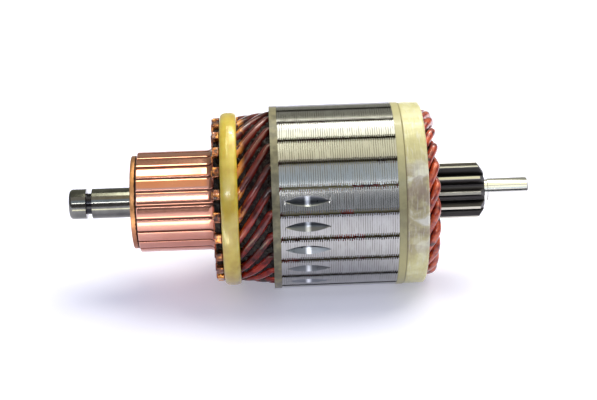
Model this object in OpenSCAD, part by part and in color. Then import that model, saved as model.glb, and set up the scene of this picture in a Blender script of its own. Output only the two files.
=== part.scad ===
// Motor armature: a wave-wound rotor with a lamination stack, a moulded commutator and an
// integral sun gear. The shaft lies along X, with the gear at the +X end. The origin is on the
// shaft's axis, at the middle of the bearing journal beside the commutator.

/* [Core] */
// Outside diameter of the lamination stack
core_d = 66; // [62:0.5:72]
// Length of the lamination stack
stack_len = 40.9; // [34:0.1:50]
// Steel left outside each slot, on both sides of its opening
tooth_tip = 1.5; // [1.2:0.1:2]
// Width of each slot's opening
slot_opening = 1.7; // [1.2:0.1:2.4]
// Thickness of the insulating plate on each face of the stack
plate_t = 2.6; // [1.6:0.1:3.4]

/* [Balance cuts] */
// Number of neighbouring teeth that carry a milled balance cut
cut_count = 5; // [1:1:8]
// Length of each balance cut
cut_len = 16; // [8:0.5:18]
// Width of each balance cut at its middle
cut_w = 3.6; // [2:0.1:4.6]
// Depth of each balance cut at its middle
cut_depth = 1.6; // [0.8:0.1:2.2]
// Distance from the commutator face of the stack to the middle of the cuts
cut_setback = 9.5; // [9.1:0.1:14]

/* [Shaft] */
// Diameter of the bearing journal beside the commutator
journal_d = 10.9; // [9.5:0.1:12.5]
// Length of that journal, from the ring groove to the commutator
journal_len = 14.8; // [10:0.1:22]
// Diameter at the bottom of the snap-ring groove
groove_d = 7.6; // [6.5:0.1:8.8]
// Width of the snap-ring groove
groove_w = 2; // [1:0.1:3]
// Length of the land outside the groove
end_land = 6.2; // [3.5:0.1:9]
// Radius of the rounded shaft end
end_round = 1.4; // [0.5:0.1:2]
// Diameter of the commutator's seat
commutator_seat_d = 14; // [13:0.5:15]
// Diameter of the core's seat
core_seat_d = 17; // [16:0.5:19]
// Diameter of the pilot journal beyond the gear
pilot_d = 8.2; // [6.4:0.1:9.4]
// Length of the pilot journal
pilot_len = 14.7; // [8:0.1:20]
// Depth of the relief neck between the gear and the pilot
neck_depth = 0.3; // [0.2:0.1:0.8]
// Width of the relief neck
neck_w = 1.6; // [1:0.1:2.5]
// Chamfer on the pilot's end
pilot_chamfer = 0.5; // [0.2:0.1:1]
// Diameter of the centre-drilled holes
centre_hole_d = 2.4; // [1.6:0.1:3.2]

/* [Sun gear] */
// Module of the gear
gear_module = 1.55; // [1.4:0.05:1.7]
// Number of teeth
gear_teeth = 11; // [10:1:12]
// Length of the toothed part
gear_len = 24; // [14:0.5:26]
// Distance from the drive face of the stack to the outer end of the teeth
gear_end_dist = 33.1; // [31:0.1:42]
// Length of the chamfer on the outer end of the teeth
gear_chamfer_len = 1.8; // [0.8:0.1:2.6]
// Height of that chamfer
gear_chamfer_h = 2.6; // [1:0.1:3]

/* [Commutator] */
// Diameter of the brush track
track_d = 36.1; // [33:0.1:38]
// Length of the brush track, from the front of the bars to the risers
track_len = 27.3; // [20:0.1:34]
// Thickness of the risers along the shaft
riser_w = 2.6; // [2:0.1:4]
// Width of each riser across its conductors
riser_t = 3.8; // [3.4:0.1:4.4]
// Radius of the fillet between the track and the risers
riser_fillet = 2.3; // [1:0.1:2.6]
// Height of the riser's walls above the upper conductor
riser_cover = 0.45; // [0.1:0.05:0.8]
// Thickness of the insulation between neighbouring bars
strip_t = 0.8; // [0.5:0.1:1]
// Depth of the insulation below the track
undercut = 0.5; // [0.2:0.1:0.8]
// Height of a bar from its foot to the track
bar_h = 5.4; // [5:0.1:6]
// Width of the ring in front of the bars
front_ring_w = 1.9; // [1:0.1:3]
// Radial thickness of that ring
front_ring_t = 3.2; // [2:0.1:4]
// Step from the track down to that ring
front_ring_step = 1.25; // [0.6:0.05:2]
// Width of the hub's lip between that ring and the bars
hub_lip_w = 0.4; // [0.3:0.1:1]
// Wall of the steel bush in the hub
bush_t = 1.8; // [1.2:0.1:2.2]

/* [Winding] */
// Diameter of the round conductor
wire_d = 3; // [2.7:0.05:3.1]
// Width of a conductor where it is flattened to enter its riser
flat_w = 2.2; // [1.9:0.1:2.4]
// Thickness of the slot liners
liner_t = 0.25; // [0.15:0.05:0.3]
// Clear height between the two conductors of a slot
layer_gap = 1.3; // [1:0.1:1.5]
// Length of the end turns on the commutator side, from the plate to the risers
end_turn_len = 17.75; // [15:0.25:24]
// Drop of the upper layer from its slot to the riser
riser_drop = 2.1; // [1:0.1:2.6]
// Drop of the upper layer from its slot to the coil head
head_drop = 1.4; // [1:0.1:1.6]
// Thickness of the sleeves between the two layers
sleeve_t = 0.4; // [0.2:0.1:0.5]

/* [Bands] */
// Width of the cord band beside the risers
cord_band_w = 6; // [4:0.5:8]
// Height of the cord band
cord_band_h = 1.65; // [1.2:0.05:2.4]
// Width of the glass band at the drive end
glass_band_w = 8; // [5:0.5:8.5]
// Thickness of the glass band
glass_band_t = 1.65; // [1:0.05:2]
// Radius on the outer corner of the glass band
glass_band_round = 1.1; // [0.5:0.1:1.2]

/* [Hidden] */
$fn = 96;
// Gap of a sliding fit, and of a pressed or moulded fit, on each side
slide = 0.05;
press = 0.02;
// How far a shape that only trims another stands past it
spare = 0.5;

// The winding: slots, bars and coils all number the same, with four poles
slot_count = 23;
pitch = 360 / slot_count;
slot_span = 6;
first_slot = 90;
bar_lead = 1.8;

// Stations along the shaft
front_x = journal_len / 2;
groove_x = -journal_len / 2 - groove_w;
shaft_x0 = groove_x - end_land;
bars_x = front_x + front_ring_w + hub_lip_w;
riser_x = bars_x + track_len;
bars_end = riser_x + riser_w;
plate_x0 = bars_end + end_turn_len;
stack_x0 = plate_x0 + plate_t;
stack_x1 = stack_x0 + stack_len;
plate_x1 = stack_x1 + plate_t;
gear_x1 = stack_x1 + gear_end_dist;
gear_x0 = gear_x1 - gear_len;
pilot_x0 = gear_x1 + neck_w;
shaft_x1 = pilot_x0 + pilot_len;

// Radii of the core and of the two layers of conductors in their slots
core_r = core_d / 2;
slot_half = wire_d / 2 + 2 * slide + liner_t;
plate_slot_gap = 0.45;
upper_r = core_r - tooth_tip - slot_half;
lower_r = upper_r - wire_d - layer_gap;

// A conductor keeps its section where it is flattened; the two ends lie one above the other
flat_h = PI / 4 * wire_d * wire_d / flat_w;
end_gap = 0.35;
upper_end_r = upper_r - riser_drop;
lower_end_r = upper_end_r - flat_h - end_gap;
riser_top = upper_end_r + flat_h / 2 + riser_cover;
riser_floor = lower_end_r - flat_h / 2 - slide;

// End turns: where they bend beside the plates and beside the risers
bend = 1.2;
bend_out = 0.6;
turn_x0 = plate_x0 - bend_out;
turn_x1 = plate_x1 + bend_out;
riser_bend_x = bars_end + bend + slide;
flat_run = 4;
end_proud = 0.3;

// Coil heads: they step from the upper layer to the lower one across head_step degrees, and
// reach just far enough for neighbouring conductors of the lower layer to lie side by side
head_step = 6;
head_angle = slot_span * pitch / 2 - head_step / 2;
head_gap = 0.6;
turn_gap = 0.15;
head_r0 = upper_r - head_drop;
head_r1 = head_r0 - wire_d - head_gap;
function side_by_side(r) = acos((wire_d + turn_gap) / (2 * PI * r / slot_count));
function reach(r) = r * head_angle * PI / 180 / tan(side_by_side(r));
head_x = turn_x1 + max(reach(head_r1), reach(head_r0));
head_bend = 2.2;

// Commutator
track_r = track_d / 2;
foot_r = track_r - bar_h;
neck_r = track_r - 0.72 * bar_h;
shoulder_r = track_r - 0.48 * bar_h;
notch_len = 3;
foot_setback = 1.2;
bar_edge = 0.3;
bush_r0 = commutator_seat_d / 2 + press;
bush_r1 = bush_r0 + bush_t;
front_ring_r = track_r - front_ring_step;
lip_r = front_ring_r - 0.5;
hub_recess = 0.3;

// Bands and sleeves
cord_band_gap = 0.1;
cord_band_r = end_turn_r(bars_end + cord_band_gap + cord_band_w) + wire_d / 2 + slide;
glass_band_r = upper_r + wire_d / 2 + slide;
sleeve_inset = 0.8;

// Detail of the swept conductors
wire_sides = 8;
turn_steps = 5;
head_steps = 4;
bend_steps = 2;

function numbered(name, i) = str(name, "_", i < 10 ? "0" : "", i);
function slot_angle(i) = first_slot + (i - 1) * pitch;
function bar_angle(i) = slot_angle(i) + bar_lead;
function unit(v) = v / norm(v);
function arc(centre, r, from, to, n) =
    [for (i = [0:n]) centre + r * [cos(from + (to - from) * i / n), sin(from + (to - from) * i / n)]];

// Radius of the upper layer's centre line over the commutator-side end turns, at x
function end_turn_r(x) =
    upper_end_r + (upper_r - upper_end_r) * (x - riser_bend_x) / (turn_x0 - riser_bend_x);

// ---- Placing: solids are drawn around Z and laid along X; angle 0 points along +Y ----

module along_x(x = 0) {
    translate([x, 0, 0]) rotate([90, 0, 90]) children();
}

module turned(profile) {
    along_x() rotate_extrude() polygon(profile);
}

module around(angle) {
    rotate([angle, 0, 0]) children();
}

// ---- Shaft ----

// Half the angle that a gear tooth fills at radius r, on an involute flank
function involute(a) = tan(a) * 180 / PI - a;
function tooth_half(r, base_r) =
    90 / gear_teeth + involute(20) - involute(acos(min(1, base_r / r)));

module gear_outline() {
    pitch_r = gear_module * gear_teeth / 2;
    base_r = pitch_r * cos(20);
    tip_r = pitch_r + gear_module;
    root_r = pitch_r - 1.25 * gear_module;
    radii = [root_r, for (i = [0:4]) base_r + (tip_r - base_r) * i / 4];
    flank = [for (r = radii) [r, tooth_half(max(r, base_r), base_r)]];
    half = [for (p = flank) p[0] * [cos(p[1]), -sin(p[1])]];
    other = [for (i = [len(flank) - 1:-1:0]) flank[i][0] * [cos(flank[i][1]), sin(flank[i][1])]];
    tooth = concat(half, other);
    points = [for (k = [0:gear_teeth - 1], p = tooth) turn(p, k * 360 / gear_teeth)];
    polygon(points);
}

function turn(p, a) = [p[0] * cos(a) - p[1] * sin(a), p[0] * sin(a) + p[1] * cos(a)];

module sun_gear() {
    tip_r = gear_module * (gear_teeth + 2) / 2;
    slope = gear_chamfer_len / gear_chamfer_h;
    intersection() {
        along_x(gear_x0) linear_extrude(gear_len) gear_outline();
        turned([
            [0, gear_x0], [tip_r + spare, gear_x0],
            [tip_r + spare, gear_x1 - gear_chamfer_len - spare * slope],
            [tip_r - gear_chamfer_h, gear_x1], [0, gear_x1]
        ]);
    }
}

module centre_hole(x, side) {
    r = centre_hole_d / 2;
    turned([[0, x + side], [r + 1, x + side], [r, x], [r, x - side * r], [0, x - side * 2 * r]]);
}

module shaft() {
    journal_r = journal_d / 2;
    pilot_r = pilot_d / 2;
    neck_r1 = pilot_r - neck_depth;
    seat_r = commutator_seat_d / 2;
    core_seat_r = core_seat_d / 2;
    color("dimgray") difference() {
        union() {
            turned(concat(
                [[0, shaft_x0]],
                arc([journal_r - end_round, shaft_x0 + end_round], end_round, -90, 0, 5),
                [[journal_r, groove_x], [groove_d / 2, groove_x]],
                [[groove_d / 2, groove_x + groove_w], [journal_r, groove_x + groove_w]],
                [[journal_r, front_x], [seat_r, front_x], [seat_r, bars_end]],
                [[core_seat_r, bars_end], [core_seat_r, gear_x0], [0, gear_x0]]
            ));
            sun_gear();
            turned([
                [0, gear_x1], [neck_r1, gear_x1], [neck_r1, pilot_x0], [pilot_r, pilot_x0],
                [pilot_r, shaft_x1 - pilot_chamfer], [pilot_r - pilot_chamfer, shaft_x1], [0, shaft_x1]
            ]);
        }
        centre_hole(shaft_x0, -1);
        centre_hole(shaft_x1, 1);
    }
}

// ---- Core ----

// Outline of one slot: round at the bottom and at the top, on the two layers' centres
module slot_outline(half) {
    polygon(concat(
        arc([upper_r, 0], half, -90, 90, 8),
        arc([lower_r, 0], half, 90, 270, 8)
    ));
}

module slots(x, length, half) {
    for (i = [1:slot_count]) {
        around(slot_angle(i)) along_x(x) linear_extrude(length) slot_outline(half);
    }
}

// One balance cut: the edge of a disc cutter with a pointed rim, whose axis lies across the tooth
module balance_cut() {
    rim_r = cut_len * cut_len / (8 * cut_depth) + cut_depth / 2;
    slope = cut_w / 2 / cut_depth;
    deep = 3 * cut_depth;
    centre = [core_r - cut_depth + rim_r, 0, stack_x0 + cut_setback];
    along_x() translate(centre) rotate([90, 0, 0]) rotate_extrude() polygon([
        [0, -deep * slope], [rim_r - deep, -deep * slope], [rim_r, 0],
        [rim_r - deep, deep * slope], [0, deep * slope]
    ]);
}

module core_laminations() {
    color("slategray") difference() {
        along_x(stack_x0) cylinder(h = stack_len, r = core_r);
        along_x(stack_x0 - 1) cylinder(h = stack_len + 2, r = core_seat_d / 2 + press);
        slots(stack_x0 - 1, stack_len + 2, slot_half);
        for (i = [1:slot_count]) {
            around(slot_angle(i)) along_x(stack_x0 - 1) translate([upper_r, -slot_opening / 2])
                cube([core_r, slot_opening, stack_len + 2]);
        }
        for (k = [0:cut_count - 1]) {
            around(slot_angle(5.5 + k)) balance_cut();
        }
    }
}

// The plates' slots are closed, and wide enough for the conductors to start their bend in them
module end_plate(x) {
    color("darkkhaki") difference() {
        along_x(x) cylinder(h = plate_t, r = core_r);
        along_x(x - 1) cylinder(h = plate_t + 2, r = core_seat_d / 2 + press);
        slots(x - 1, plate_t + 2, slot_half + plate_slot_gap);
    }
}

module end_plate_commutator() {
    end_plate(plate_x0);
}

module end_plate_drive() {
    end_plate(stack_x1);
}

// Each liner follows its slot's wall and is open towards the slot's opening
module slot_liners() {
    over = plate_t / 2;
    outer = slot_half - slide;
    color("tan") for (i = [1:slot_count]) {
        around(slot_angle(i)) along_x(stack_x0 - over) linear_extrude(stack_len + 2 * over)
            difference() {
                slot_outline(outer);
                slot_outline(outer - liner_t);
                translate([upper_r, -slot_opening / 2]) square([outer + 1, slot_opening]);
            }
    }
}

// ---- Winding ----
// A coil's path is drawn flat: x along the shaft, s around it (an angle times path_scale) and r.

path_scale = (upper_r + lower_r) / 2 * PI / 180;

function flat_point(x, angle, r) = [x, angle * path_scale, r];
function on_shaft(p) = [p[0], p[2] * cos(p[1] / path_scale), p[2] * sin(p[1] / path_scale)];

// A corner at c between a and b, rounded from cut before it to cut after it
function corner(a, c, b, cut) =
    let (p = c + cut * unit(a - c), q = c + cut * unit(b - c))
    [for (i = [0:bend_steps]) let (t = i / bend_steps)
        (1 - t) * (1 - t) * p + 2 * t * (1 - t) * c + t * t * q];

// Points strictly between a and b
function between(a, b, n) = [for (i = [1:n - 1]) a + (b - a) * i / n];

function coil_corners() =
    let (rise = slot_span / 2 * pitch, span = slot_span * pitch)
    [
        flat_point(riser_x - end_proud, rise + bar_lead, upper_end_r),
        flat_point(riser_bend_x, rise + bar_lead, upper_end_r),
        flat_point(turn_x0, 0, upper_r),
        flat_point(turn_x1, 0, upper_r),
        flat_point(head_x, -head_angle, head_r0),
        flat_point(head_x, -head_angle - head_step, head_r1),
        flat_point(turn_x1, -span, lower_r),
        flat_point(turn_x0, -span, lower_r),
        flat_point(riser_bend_x, -span - rise + bar_lead, lower_end_r),
        flat_point(riser_x - end_proud, -span - rise + bar_lead, lower_end_r)
    ];

function coil_path() =
    let (
        c = coil_corners(),
        cuts = [0, bend, bend, bend, head_bend, head_bend, bend, bend, bend, 0],
        bends = [for (i = [1:8]) corner(c[i - 1], c[i], c[i + 1], cuts[i])],
        last = bend_steps
    )
    [for (p = concat(
        [c[0]],
        bends[0], between(bends[0][last], bends[1][0], turn_steps),
        bends[1],
        bends[2], between(bends[2][last], bends[3][0], head_steps),
        bends[3],
        bends[4], between(bends[4][last], bends[5][0], head_steps),
        bends[5],
        bends[6], between(bends[6][last], bends[7][0], turn_steps),
        bends[7],
        [c[9]]
    )) on_shaft(p)];

// Share of the full round section at x: 0 up to the bend beside the riser, 1 from flat_run beyond it
function roundness(x) = max(0, min(1, (x - riser_bend_x) / flat_run));

function wire_ring(points, i) =
    let (
        n = len(points),
        p = points[i],
        along = unit(points[min(i + 1, n - 1)] - points[max(i - 1, 0)]),
        side = unit(cross(along, [0, p[1], p[2]])),
        up = cross(side, along),
        k = roundness(p[0]),
        w = flat_w + (wire_d - flat_w) * k,
        h = flat_h + (wire_d - flat_h) * k
    )
    [for (j = [0:wire_sides - 1]) let (a = (j + 0.5) * 360 / wire_sides)
        p + side * w / 2 * cos(a) + up * h / 2 * sin(a)];

module coil() {
    path = coil_path();
    n = len(path);
    m = wire_sides;
    points = [for (i = [0:n - 1], q = wire_ring(path, i)) q];
    walls = [for (i = [0:n - 2], j = [0:m - 1]) let (k = (j + 1) % m)
        each [
            [i * m + j, (i + 1) * m + j, (i + 1) * m + k],
            [i * m + j, (i + 1) * m + k, i * m + k]
        ]];
    first = [for (j = [0:m - 1]) j];
    last = [for (j = [m - 1:-1:0]) (n - 1) * m + j];
    color("firebrick") polyhedron(points, concat(walls, [first, last]), convexity = 10);
}

// The sleeves lie half way between the layers, and follow their slope
module layer_sleeve(x0, r0, x1, r1) {
    half = sleeve_t / 2;
    color("peru") turned([[r0 - half, x0], [r0 + half, x0], [r1 + half, x1], [r1 - half, x1]]);
}

module layer_sleeve_commutator() {
    slot_mid = (upper_r + lower_r) / 2;
    end_mid = (upper_end_r + lower_end_r) / 2;
    slope = (slot_mid - end_mid) / (turn_x0 - riser_bend_x);
    x0 = bars_end + sleeve_inset;
    x1 = plate_x0 - slide;
    layer_sleeve(x0, end_mid + slope * (x0 - riser_bend_x), x1, slot_mid);
}

module layer_sleeve_drive() {
    slot_mid = (upper_r + lower_r) / 2;
    head_mid = (head_r0 + head_r1) / 2;
    x0 = plate_x1 + slide;
    x1 = head_x - wire_d / 2 - sleeve_inset;
    slope = (head_mid - slot_mid) / (head_x - turn_x1);
    layer_sleeve(x0, slot_mid, x1, slot_mid + slope * (x1 - turn_x1));
}

// ---- Commutator ----

// Underside of the bars, as radius and distance along the shaft, with a dovetail at each end
function dovetail(gap) = [
    [shoulder_r - gap, bars_end + gap],
    [neck_r - gap, bars_end - notch_len + 3 * gap],
    [foot_r - gap, bars_end - foot_setback + 2 * gap],
    [foot_r - gap, bars_x + foot_setback - 2 * gap],
    [neck_r - gap, bars_x + notch_len - 3 * gap],
    [shoulder_r - gap, bars_x - gap]
];

module bar_wedge() {
    apex = strip_t / 2 / sin(pitch / 2);
    far = riser_top;
    along_x(bars_x - 1) linear_extrude(bars_end - bars_x + 2)
        polygon([[apex, 0], [far, -(far - apex) * tan(pitch / 2)], [far, (far - apex) * tan(pitch / 2)]]);
}

module commutator_bar() {
    fillet_top = track_r + riser_fillet;
    color("sandybrown") difference() {
        union() {
            intersection() {
                turned(concat(
                    [[track_r - bar_edge, bars_x], [track_r, bars_x + bar_edge]],
                    arc([fillet_top, riser_x - riser_fillet], riser_fillet, 180, 90, 6),
                    [[fillet_top, bars_end]],
                    dovetail(0)
                ));
                bar_wedge();
            }
            intersection() {
                turned([[track_r, riser_x], [riser_top, riser_x], [riser_top, bars_end], [track_r, bars_end]]);
                along_x(riser_x - 1) translate([0, -riser_t / 2]) cube([riser_top + 1, riser_t, riser_w + 2]);
            }
        }
        along_x(riser_x - 1) translate([riser_floor, -flat_w / 2 - slide])
            cube([riser_top, flat_w + 2 * slide, riser_w + 2]);
    }
}

module bar_insulation() {
    outer_r = track_r - undercut;
    color("beige") for (i = [1:slot_count]) {
        around(bar_angle(i) + pitch / 2) intersection() {
            turned(concat([[outer_r, bars_x], [outer_r, bars_end]], dovetail(0)));
            along_x(bars_x - 1) translate([0, -strip_t / 2])
                cube([outer_r + 1, strip_t, bars_end - bars_x + 2]);
        }
    }
}

module commutator_hub() {
    nose_r = front_ring_r - front_ring_t - press;
    color("saddlebrown") turned(concat(
        [[bush_r1 + press, front_x + hub_recess], [nose_r, front_x + hub_recess]],
        [[nose_r, front_x + front_ring_w], [lip_r, front_x + front_ring_w], [lip_r, bars_x - press]],
        [for (p = [0:5]) dovetail(press)[5 - p]],
        [[bush_r1 + press, bars_end + press]]
    ));
}

module commutator_bush() {
    color("gray") along_x(front_x) difference() {
        cylinder(h = bars_end - front_x, r = bush_r1);
        translate([0, 0, -1]) cylinder(h = bars_end - front_x + 2, r = bush_r0);
    }
}

module front_ring() {
    edge = 0.2;
    color("chocolate") turned([
        [front_ring_r - front_ring_t, front_x], [front_ring_r - edge, front_x],
        [front_ring_r, front_x + edge], [front_ring_r, front_x + front_ring_w],
        [front_ring_r - front_ring_t, front_x + front_ring_w]
    ]);
}

// ---- Bands ----

module cord_band() {
    x0 = bars_end + cord_band_gap;
    x1 = x0 + cord_band_w;
    top = cord_band_r + cord_band_h;
    round = cord_band_h - 0.15;
    color("khaki") turned(concat(
        [[cord_band_r, x0]],
        arc([top - round, x0 + round], round, -90, 0, 6),
        arc([top - round, x1 - round], round, 0, 90, 6),
        [[cord_band_r, x1]]
    ));
}

module glass_band() {
    x1 = plate_x1 + glass_band_w;
    top = glass_band_r + glass_band_t;
    color("palegoldenrod") turned(concat(
        [[glass_band_r, plate_x1], [top, plate_x1]],
        arc([top - glass_band_round, x1 - glass_band_round], glass_band_round, 0, 90, 6),
        [[glass_band_r, x1]]
    ));
}

// ---- Nodes ----

shaft();
core_laminations();
end_plate_commutator();
end_plate_drive();
slot_liners();
layer_sleeve_commutator();
layer_sleeve_drive();
commutator_hub();
commutator_bush();
bar_insulation();
front_ring();
cord_band();
glass_band();
for (i = [1:slot_count]) {
    around(bar_angle(i)) commutator_bar();
    around(slot_angle(i)) coil();
}
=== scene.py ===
"""Looks of a motor armature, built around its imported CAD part.

Shapes are worked out in millimetres and written in metres. X runs along the shaft, and an angle of 0
round the shaft points along +Y.
"""

import math
import random

import bmesh
import bpy
from mathutils import Matrix, Vector, noise


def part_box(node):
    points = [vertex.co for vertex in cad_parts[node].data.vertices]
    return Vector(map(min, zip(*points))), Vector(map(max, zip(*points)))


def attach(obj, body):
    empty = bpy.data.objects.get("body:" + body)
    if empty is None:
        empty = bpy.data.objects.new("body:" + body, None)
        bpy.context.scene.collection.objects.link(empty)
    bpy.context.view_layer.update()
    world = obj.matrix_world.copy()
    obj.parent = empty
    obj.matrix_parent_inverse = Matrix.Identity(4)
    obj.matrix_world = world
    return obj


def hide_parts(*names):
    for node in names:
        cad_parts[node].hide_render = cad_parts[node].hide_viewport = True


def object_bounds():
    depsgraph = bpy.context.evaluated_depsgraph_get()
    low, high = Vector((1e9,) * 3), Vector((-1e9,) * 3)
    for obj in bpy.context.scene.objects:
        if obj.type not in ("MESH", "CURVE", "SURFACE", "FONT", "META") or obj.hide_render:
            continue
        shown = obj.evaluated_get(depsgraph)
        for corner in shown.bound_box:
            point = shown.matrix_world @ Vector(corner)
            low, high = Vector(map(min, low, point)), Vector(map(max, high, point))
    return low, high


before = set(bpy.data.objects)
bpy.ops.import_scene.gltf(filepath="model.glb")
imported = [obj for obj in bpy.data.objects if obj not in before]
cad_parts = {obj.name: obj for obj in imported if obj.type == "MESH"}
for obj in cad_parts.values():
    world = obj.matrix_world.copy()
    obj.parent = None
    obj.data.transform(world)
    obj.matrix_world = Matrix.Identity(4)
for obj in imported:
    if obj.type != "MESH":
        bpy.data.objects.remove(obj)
cad_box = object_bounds()
MM = 0.001

# ---- Sizes, in millimetres, as in the part's source ----

SLOTS = 23
PITCH = 360 / SLOTS
SLOT_SPAN = 6
BAR_LEAD = 1.8
WIRE_D = 3.0
FLAT_W = 2.2
FLAT_H = math.pi / 4 * WIRE_D**2 / FLAT_W
UPPER_R = 29.65
LOWER_R = 25.35
UPPER_END_R = 27.55
LOWER_END_R = UPPER_END_R - FLAT_H - 0.35
HEAD_R0 = 28.25
HEAD_R1 = 24.65
HEAD_STEP = 6
HEAD_ANGLE = SLOT_SPAN * PITCH / 2 - HEAD_STEP / 2
CORE_BORE_R = 8.5
SLOT_HALF = 1.85
SLOT_OPENING = 1.7
STRIP_T = 0.8
SHEETS = 104
LINE_PERIOD = 0.787  # a dark line to every second sheet
RISER_T = 3.8
RISER_FILLET = 2.3
GEAR_TEETH = 11
GEAR_MODULE = 1.55
CUT_TEETH = range(4, 9)
CUT_LEN, CUT_W, CUT_DEPTH, CUT_SETBACK = 16, 3.6, 1.6, 9.5


def reach_of(node):
    """Where a CAD node starts and ends along the shaft, and its outer radius."""
    low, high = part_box(node)
    return low.x / MM, high.x / MM, high.z / MM


SHAFT_X0, SHAFT_X1, _ = reach_of("shaft")
FRONT_X, RING_X1, RING_R = reach_of("front_ring")
BARS_X, BARS_END, RISER_TOP = reach_of("commutator_bar_01")
STACK_X0, STACK_X1, CORE_R = reach_of("core_laminations")
SHEET_T = (STACK_X1 - STACK_X0) / SHEETS
PLATE_X0 = reach_of("end_plate_commutator")[0]
PLATE_X1 = reach_of("end_plate_drive")[1]
CORD_X0, CORD_X1, CORD_R = reach_of("cord_band")
GLASS_X0, GLASS_X1, GLASS_R = reach_of("glass_band")
HEAD_X = reach_of("coil_01")[1] - 1.05
TRACK_R = 18.05
BAR_FOOT_R = TRACK_R - 5.4
RISER_X = BARS_END - 2.6
RISER_BEND_X = BARS_END + 1.25
TURN_X0 = PLATE_X0 - 0.6
TURN_X1 = PLATE_X1 + 0.6
GEAR_X0, GEAR_X1 = STACK_X1 + 9.1, STACK_X1 + 33.1
PILOT_X0 = GEAR_X1 + 1.6


# ---- Shader maths ----


class Value:
    """One output of a shader node. Arithmetic on it adds the Math nodes that work it out."""

    def __init__(self, finish, socket):
        self.finish = finish
        self.socket = socket

    def math(self, operation, *values):
        return self.finish.node("ShaderNodeMath", {"operation": operation}, dict(enumerate(values)))

    def __add__(self, other):
        return self.math("ADD", self, other)

    def __sub__(self, other):
        return self.math("SUBTRACT", self, other)

    def __mul__(self, other):
        return self.math("MULTIPLY", self, other)

    def __truediv__(self, other):
        return self.math("DIVIDE", self, other)

    def __pow__(self, other):
        return self.math("POWER", self, other)

    def __radd__(self, other):
        return self.math("ADD", other, self)

    def __rsub__(self, other):
        return self.math("SUBTRACT", other, self)

    def __rmul__(self, other):
        return self.math("MULTIPLY", other, self)

    def above(self, edge, blur):
        """0 well below edge, 1 well above it, with a soft step blur wide."""
        return self.finish.node(
            "ShaderNodeMapRange",
            {"interpolation_type": "SMOOTHSTEP"},
            {"Value": self, "From Min": edge - blur / 2, "From Max": edge + blur / 2},
        )

    def part(self, name):
        """One coordinate of a vector."""
        return self.finish.node("ShaderNodeSeparateXYZ", {}, {0: self}, name)


class Finish:
    """A procedural material. Its coordinates are the part's own, in millimetres."""

    def __init__(self, name):
        self.material = bpy.data.materials.new(name)
        self.material.use_nodes = True
        self.tree = self.material.node_tree
        self.tree.nodes.clear()
        at = self.node("ShaderNodeTexCoord", {}, {}, "Object")
        self.at = self.node("ShaderNodeVectorMath", {"operation": "SCALE"}, {0: at, "Scale": 1 / MM})
        self.x, self.y, self.z = (self.at.part(axis) for axis in "XYZ")
        self.angle = self.x.math("ARCTAN2", self.z, self.y)
        self.radius = (self.y * self.y + self.z * self.z) ** 0.5

    @classmethod
    def in_tree(cls, tree):
        """The same methods for a node tree that isn't a material's."""
        made = cls.__new__(cls)
        made.tree = tree
        tree.nodes.clear()
        return made

    def node(self, kind, settings, values, output=0):
        made = self.tree.nodes.new(kind)
        for key, value in settings.items():
            if key == "stops":
                ramp = made.color_ramp
                while len(ramp.elements) < len(value):
                    ramp.elements.new(1)
                for element, (position, colour) in zip(ramp.elements, value):
                    element.position = position
                    element.color = (*colour, 1)
            else:
                setattr(made, key, value)
        for key, value in values.items():
            if isinstance(value, Value):
                self.tree.links.new(value.socket, made.inputs[key])
            elif value is not None:
                made.inputs[key].default_value = value
        return Value(self, made.outputs[output]) if made.outputs else None

    def vector(self, x, y, z):
        return self.node("ShaderNodeCombineXYZ", {}, {"X": x, "Y": y, "Z": z})

    def round_shaft(self, across=1.0, along=1.0):
        """Coordinates that stretch a pattern round the shaft: small steps along X, long ones round it."""
        return self.vector(self.x * along, self.y * across, self.z * across)

    def cloud(self, scale, detail=3.0, where=None, rough=0.5, warp=0.0):
        """Soft noise from 0 to 1, with scale in features a millimetre."""
        return self.node(
            "ShaderNodeTexNoise",
            {},
            {
                "Vector": where or self.at,
                "Scale": scale,
                "Detail": detail,
                "Roughness": rough,
                "Distortion": warp,
            },
        )

    def mix(self, share, first, second, blend="MIX"):
        """Colours first and second, mixed by share."""

        def colour(c):
            return c if isinstance(c, Value) else (*c, 1)

        return self.node(
            "ShaderNodeMix",
            {"data_type": "RGBA", "blend_type": blend},
            {0: share, 6: colour(first), 7: colour(second)},
            2,
        )

    def ramp(self, value, *stops):
        """A colour picked from stops by a value from 0 to 1."""
        return self.node("ShaderNodeValToRGB", {"stops": stops}, {0: value})

    def bump(self, height, distance, strength=1.0):
        return self.node(
            "ShaderNodeBump", {}, {"Height": height, "Distance": distance * MM, "Strength": strength}
        )

    def surface(self, **sockets):
        """Ends the material with a Principled shader; socket names have _ in place of spaces."""
        values = {}
        for name, value in sockets.items():
            if isinstance(value, tuple):
                value = (*value, 1)
            values[name.replace("_", " ")] = value
        shader = self.node("ShaderNodeBsdfPrincipled", {}, values)
        self.end(shader)
        return self.material

    def end(self, shader):
        self.node("ShaderNodeOutputMaterial", {}, {"Surface": shader})


# ---- Finishes ----


def ground_steel():
    """Dark hardened shaft steel, ground round and round."""
    f = Finish("ground_steel")
    lines = f.cloud(2.2, 4, f.round_shaft(0.02, 1))
    stain = f.cloud(0.25, 4)
    colour = f.mix(stain, (0.11, 0.11, 0.10), (0.27, 0.27, 0.25))
    groove = (1 - f.radius.above(4.7, 0.5)) * f.x.above(-10, 0.5)
    colour = f.mix(groove, colour, (0.035, 0.035, 0.04))
    return f.surface(
        Base_Color=colour,
        Metallic=1.0,
        Roughness=0.09 + 0.08 * lines,
        Normal=f.bump(lines, 0.0015),
    )


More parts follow.
